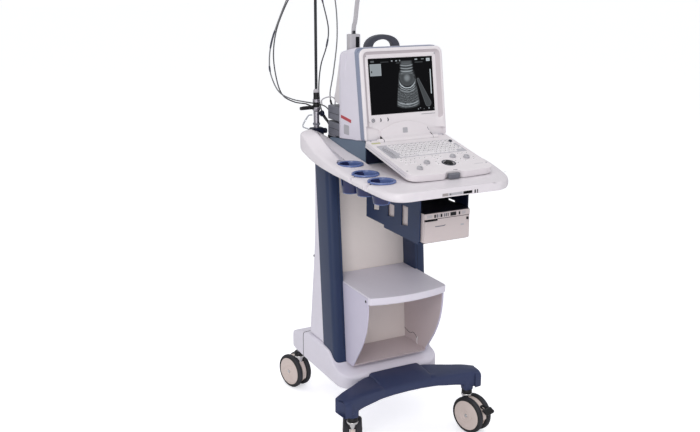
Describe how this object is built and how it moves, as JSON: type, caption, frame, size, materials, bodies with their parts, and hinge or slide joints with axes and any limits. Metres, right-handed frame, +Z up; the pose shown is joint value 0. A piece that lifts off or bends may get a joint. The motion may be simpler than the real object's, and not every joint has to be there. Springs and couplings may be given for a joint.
{
  "type": "trolley ultrasound machine",
  "caption": "Compact ultrasound console with a fold-up keyboard on a wheeled column stand with probe cups, printer and storage box.",
  "frame": {"origin": "on the floor, below the centre of the overall box", "axes": "+Z up, -Y towards the operator (the keyboard side), +X to the right when seen from above with the operator at the bottom"},
  "size_m": [0.585, 0.9242, 1.5285],
  "materials": {
    "cover_white": "lavender-white moulded plastic, satin",
    "console_white": "warm white moulded plastic, satin",
    "side_lavender": "pale lavender powder coat",
    "inner_beige": "warm grey-beige powder coat",
    "shelf_taupe": "taupe powder coat",
    "navy_paint": "deep navy powder coat, slightly glossy",
    "beam_navy": "navy moulded cover, soft gloss",
    "frame_steel": "grey coated steel",
    "cup_blue": "medium blue moulded plastic, glossy",
    "trim_blue": "blue-grey gloss trim",
    "slate_base": "slate blue-grey plastic",
    "handle_grey": "dark grey plastic",
    "screen_glass": "black display front, glossy",
    "circuit_board": "green circuit board with a mounting plate",
    "printer_shell": "pale beige-grey plastic",
    "dark_plastic": "near-black plastic",
    "pole_steel": "brushed grey metal tube",
    "plug_grey": "mid grey connector shell with grey cable",
    "caster_body": "dark grey caster hood on a metal stem",
    "caster_wheel": "grey-black tread with pale side discs"
  },
  "bodies": {
    "stand": {"chassis_frame": "frame_steel", "base_cover": "cover_white", "base_rear_cover": "cover_white", "front_leg_beam": "beam_navy", "bumper_cap_left": "beam_navy", "bumper_cap_right": "handle_grey", "column_post_left": "navy_paint", "column_post_right": "navy_paint", "column_inner_panel": "inner_beige", "column_rear_shell": "cover_white", "shelf_side_left": "side_lavender", "shelf_side_right": "side_lavender", "shelf_floor": "shelf_taupe", "shelf_top": "cover_white", "table_top": "console_white", "table_support": "frame_steel", "probe_cup_rear": "cup_blue", "probe_cup_middle": "cup_blue", "probe_cup_front": "cup_blue", "printer_bracket_left": "navy_paint", "printer_bracket_right": "navy_paint", "printer_body": "printer_shell", "printer_panel": "printer_shell", "unit_base": "slate_base", "unit_rear_shell": "cover_white", "unit_trim_band": "trim_blue", "unit_front_bezel": "console_white", "screen_panel": "screen_glass", "main_board": "circuit_board", "hinge_cover": "console_white", "carry_handle": "handle_grey", "pole_tube": "pole_steel", "hanger_arm_base": "cover_white", "probe_plug_upper": "plug_grey", "probe_plug_lower": "plug_grey"},
    "caster_fl": {"caster_fl_fork": "caster_body"},
    "caster_fl_wheel_a": {"caster_fl_wheel_a": "caster_wheel"},
    "caster_fl_wheel_b": {"caster_fl_wheel_b": "caster_wheel"},
    "caster_fl_brake": {"caster_fl_brake": "dark_plastic"},
    "caster_fr": {"caster_fr_fork": "caster_body"},
    "caster_fr_wheel_a": {"caster_fr_wheel_a": "caster_wheel"},
    "caster_fr_wheel_b": {"caster_fr_wheel_b": "caster_wheel"},
    "caster_fr_brake": {"caster_fr_brake": "dark_plastic"},
    "caster_rl": {"caster_rl_fork": "caster_body"},
    "caster_rl_wheel_a": {"caster_rl_wheel_a": "caster_wheel"},
    "caster_rl_wheel_b": {"caster_rl_wheel_b": "caster_wheel"},
    "caster_rr": {"caster_rr_fork": "caster_body"},
    "caster_rr_wheel_a": {"caster_rr_wheel_a": "caster_wheel"},
    "caster_rr_wheel_b": {"caster_rr_wheel_b": "caster_wheel"},
    "keyboard": {"keyboard_housing": "console_white", "keypad": "console_white"},
    "keyboard_latch": {"keyboard_latch": "handle_grey"},
    "trackball": {"trackball": "dark_plastic"},
    "gain_knob": {"gain_knob": "handle_grey"},
    "power_button": {"power_button": "handle_grey"},
    "printer_door": {"printer_door": "printer_shell"},
    "printer_button": {"printer_button": "dark_plastic"},
    "cable_pole": {"cable_pole": "pole_steel"},
    "pole_lock_lever": {"pole_lock_lever": "dark_plastic"},
    "hanger_arm": {"hanger_arm": "cover_white"}
  },
  "joints": [
    {"name": "caster_fl_swivel", "type": "hinge", "parent": "stand", "child": "caster_fl", "pos_m": [-0.19052, -0.16712, 0.143], "axis": [0, 0, 1], "continuous": true},
    {"name": "caster_fl_spin_a", "type": "hinge", "parent": "caster_fl", "child": "caster_fl_wheel_a", "pos_m": [-0.17918, -0.14485, 0.0625], "axis": [-0.891, 0.454, 0], "continuous": true},
    {"name": "caster_fl_spin_b", "type": "hinge", "parent": "caster_fl", "child": "caster_fl_wheel_b", "pos_m": [-0.17918, -0.14485, 0.0625], "axis": [-0.891, 0.454, 0], "continuous": true},
    {"name": "caster_fl_brake_press", "type": "hinge", "parent": "caster_fl", "child": "caster_fl_brake", "pos_m": [-0.16238, -0.11188, 0.1], "axis": [-0.891, 0.454, 0], "range_deg": [0, 8]},
    {"name": "caster_fr_swivel", "type": "hinge", "parent": "stand", "child": "caster_fr", "pos_m": [0.24247, -0.16712, 0.143], "axis": [0, 0, 1], "continuous": true},
    {"name": "caster_fr_spin_a", "type": "hinge", "parent": "caster_fr", "child": "caster_fr_wheel_a", "pos_m": [0.24894, -0.19127, 0.0625], "axis": [0.9659, 0.2588, 0], "continuous": true},
    {"name": "caster_fr_spin_b", "type": "hinge", "parent": "caster_fr", "child": "caster_fr_wheel_b", "pos_m": [0.24894, -0.19127, 0.0625], "axis": [0.9659, 0.2588, 0], "continuous": true},
    {"name": "caster_fr_brake_press", "type": "hinge", "parent": "caster_fr", "child": "caster_fr_brake", "pos_m": [0.25852, -0.22701, 0.1], "axis": [0.9659, 0.2588, 0], "range_deg": [0, 8]},
    {"name": "caster_rl_swivel", "type": "hinge", "parent": "stand", "child": "caster_rl", "pos_m": [-0.13353, 0.37188, 0.143], "axis": [0, 0, 1], "continuous": true},
    {"name": "caster_rl_spin_a", "type": "hinge", "parent": "caster_rl", "child": "caster_rl_wheel_a", "pos_m": [-0.14, 0.39602, 0.0625], "axis": [-0.9659, -0.2588, 0], "continuous": true},
    {"name": "caster_rl_spin_b", "type": "hinge", "parent": "caster_rl", "child": "caster_rl_wheel_b", "pos_m": [-0.14, 0.39602, 0.0625], "axis": [-0.9659, -0.2588, 0], "continuous": true},
    {"name": "caster_rr_swivel", "type": "hinge", "parent": "stand", "child": "caster_rr", "pos_m": [0.18548, 0.37188, 0.143], "axis": [0, 0, 1], "continuous": true},
    {"name": "caster_rr_spin_a", "type": "hinge", "parent": "caster_rr", "child": "caster_rr_wheel_a", "pos_m": [0.179, 0.39602, 0.0625], "axis": [-0.9659, -0.2588, 0], "continuous": true},
    {"name": "caster_rr_spin_b", "type": "hinge", "parent": "caster_rr", "child": "caster_rr_wheel_b", "pos_m": [0.179, 0.39602, 0.0625], "axis": [-0.9659, -0.2588, 0], "continuous": true},
    {"name": "keyboard_fold", "type": "hinge", "parent": "stand", "child": "keyboard", "pos_m": [0.02598, -0.11613, 1.001], "axis": [-1, 0, 0], "range_deg": [0, 108]},
    {"name": "keyboard_latch_slide", "type": "slide", "parent": "keyboard", "child": "keyboard_latch", "axis": [0, 0.9796, 0.2011], "range_m": [0, 0.003]},
    {"name": "trackball_roll", "type": "hinge", "parent": "keyboard", "child": "trackball", "pos_m": [0.04598, -0.31223, 0.95676], "axis": [1, 0, 0], "continuous": true},
    {"name": "gain_knob_turn", "type": "hinge", "parent": "keyboard", "child": "gain_knob", "pos_m": [0.12198, -0.29049, 0.96521], "axis": [0, -0.2011, 0.9796], "continuous": true},
    {"name": "power_button_press", "type": "slide", "parent": "stand", "child": "power_button", "axis": [0, 0.9882, -0.153], "range_m": [0, 0.0015]},
    {"name": "printer_door_open", "type": "hinge", "parent": "stand", "child": "printer_door", "pos_m": [0.02598, -0.34282, 0.741], "axis": [1, 0, 0], "range_deg": [0, 75]},
    {"name": "printer_button_press", "type": "slide", "parent": "stand", "child": "printer_button", "axis": [0, 1, 0], "range_m": [0, 0.0015]},
    {"name": "cable_pole_height", "type": "slide", "parent": "stand", "child": "cable_pole", "axis": [0, 0, 1], "range_m": [0, 0.08]},
    {"name": "pole_lock_turn", "type": "hinge", "parent": "stand", "child": "pole_lock_lever", "pos_m": [-0.13703, 0.19287, 1.07], "axis": [0, 0, 1], "range_deg": [0, 60]},
    {"name": "hanger_arm_turn", "type": "hinge", "parent": "stand", "child": "hanger_arm", "pos_m": [-0.08403, 0.03388, 1.3124], "axis": [0, 0, 1], "range_deg": [-90, 90]}
  ]
}
